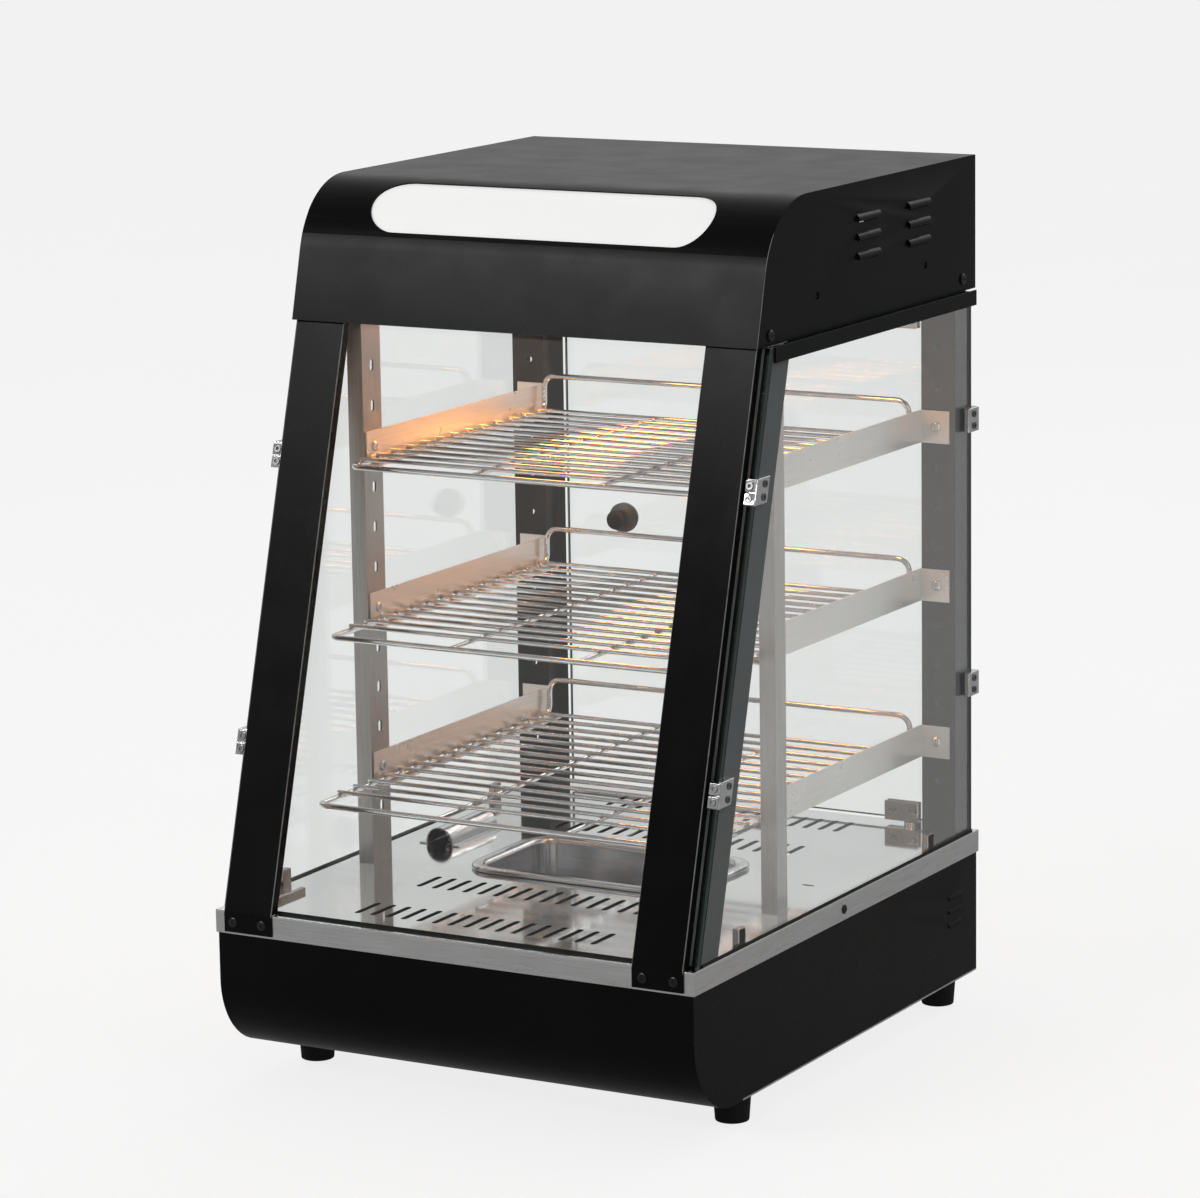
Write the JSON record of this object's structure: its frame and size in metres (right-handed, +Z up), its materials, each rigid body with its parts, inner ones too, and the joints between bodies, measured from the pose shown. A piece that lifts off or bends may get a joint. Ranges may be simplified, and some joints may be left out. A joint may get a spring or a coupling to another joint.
{
  "type": "heated food display case",
  "caption": "Countertop heated display case with slanted glass front, wire shelves on slotted posts, stainless deck with water pan, rear glass door and a lit sign hood.",
  "frame": {"origin": "on the table under the middle of the case, at the centre of its plan outline", "axes": "+X to the right seen from the front, the front faces -Y, +Z up"},
  "size_m": [0.3746, 0.444, 0.61],
  "materials": {
    "black_paint": "satin black powder coat",
    "galvanised": "plain zinc coated sheet",
    "rubber": "matte black rubber",
    "screw_steel": "bright plated screws",
    "black_screw": "black plated screws",
    "stainless": "polished stainless steel",
    "element": "oxidised steel tube",
    "cream_plastic": "off-white moulded plastic",
    "black_plastic": "black moulded plastic",
    "green_plastic": "green translucent plastic",
    "pilot_green": "green lens",
    "brass": "plain brass",
    "post_steel": "satin steel",
    "dark_steel": "dark grey coated steel",
    "glass": "clear float glass with green edges",
    "chrome": "bright chrome plate",
    "sign_white": "white translucent sheet",
    "ceramic": "off-white ceramic",
    "lamp_glass": "warm clear lamp"
  },
  "bodies": {
    "case": {"base_front_wrap": "black_paint", "base_side_left": "black_paint", "base_side_right": "black_paint", "base_rear_panel": "black_paint", "base_bottom_plate": "galvanised", "rubber_feet": "rubber", "foot_screws": "screw_steel", "deck_plate": "stainless", "heating_element": "element", "heater_brackets": "galvanised", "thermostat_body": "cream_plastic", "switch_housings": "black_plastic", "pilot_lamp": "pilot_green", "power_inlet": "black_plastic", "inlet_pins": "brass", "terminal_block": "cream_plastic", "probe_guard": "stainless", "thermostat_probe": "screw_steel", "front_post_left": "post_steel", "front_post_right": "post_steel", "rear_post_left": "dark_steel", "rear_post_right": "dark_steel", "shelf_brackets_left": "post_steel", "shelf_brackets_right": "post_steel", "bracket_screws": "screw_steel", "front_glass": "glass", "side_glass_left": "glass", "side_glass_right": "glass", "corner_angle_left": "dark_steel", "corner_angle_right": "dark_steel", "front_strip_left": "black_paint", "front_strip_right": "black_paint", "black_screws": "black_screw", "glass_clips_left": "chrome", "glass_clips_right": "chrome", "clip_screws": "screw_steel", "glass_stops": "chrome", "hood_top_wrap": "black_paint", "hood_side_left": "black_paint", "hood_side_right": "black_paint", "hood_rear_panel": "black_paint", "ceiling_panel": "galvanised", "sign_window": "sign_white", "lamp_holders": "ceramic", "lamp_bulbs": "lamp_glass", "top_rails": "black_paint", "door_pivot_bushes": "chrome", "magnet_catch": "black_plastic"},
    "door": {"door_glass": "glass", "door_clamps": "chrome", "door_clamp_screws": "screw_steel", "door_knob": "black_plastic", "strike_plate": "stainless"},
    "shelf_low": {"wire_shelf_bottom": "chrome"},
    "shelf_mid": {"wire_shelf_middle": "chrome"},
    "shelf_high": {"wire_shelf_top": "chrome"},
    "pan": {"water_pan": "stainless"},
    "dial": {"thermostat_dial": "black_plastic"},
    "rocker_power": {"power_rocker": "green_plastic"},
    "rocker_light": {"light_rocker": "black_plastic"}
  },
  "joints": [
    {"name": "door_hinge", "type": "hinge", "parent": "case", "child": "door", "pos_m": [0.134, 0.203, 0.13], "axis": [0, 0, -1], "range_deg": [0, 115]},
    {"name": "shelf_low_lift", "type": "slide", "parent": "case", "child": "shelf_low", "axis": [0, 0, 1], "range_m": [0, 0.04]},
    {"name": "shelf_mid_lift", "type": "slide", "parent": "case", "child": "shelf_mid", "axis": [0, 0, 1], "range_m": [0, 0.04]},
    {"name": "shelf_high_lift", "type": "slide", "parent": "case", "child": "shelf_high", "axis": [0, 0, 1], "range_m": [0, 0.04]},
    {"name": "pan_lift", "type": "slide", "parent": "case", "child": "pan", "axis": [0, 0, 1], "range_m": [0, 0.045]},
    {"name": "dial_turn", "type": "hinge", "parent": "case", "child": "dial", "pos_m": [-0.02, 0.212, 0.074], "axis": [0, 1, 0], "range_deg": [0, 270]},
    {"name": "power_rocker_tilt", "type": "hinge", "parent": "case", "child": "rocker_power", "pos_m": [-0.09, 0.2073, 0.074], "axis": [-1, 0, 0], "range_deg": [0, 16]},
    {"name": "light_rocker_tilt", "type": "hinge", "parent": "case", "child": "rocker_light", "pos_m": [-0.126, 0.2073, 0.074], "axis": [-1, 0, 0], "range_deg": [0, 16]}
  ]
}
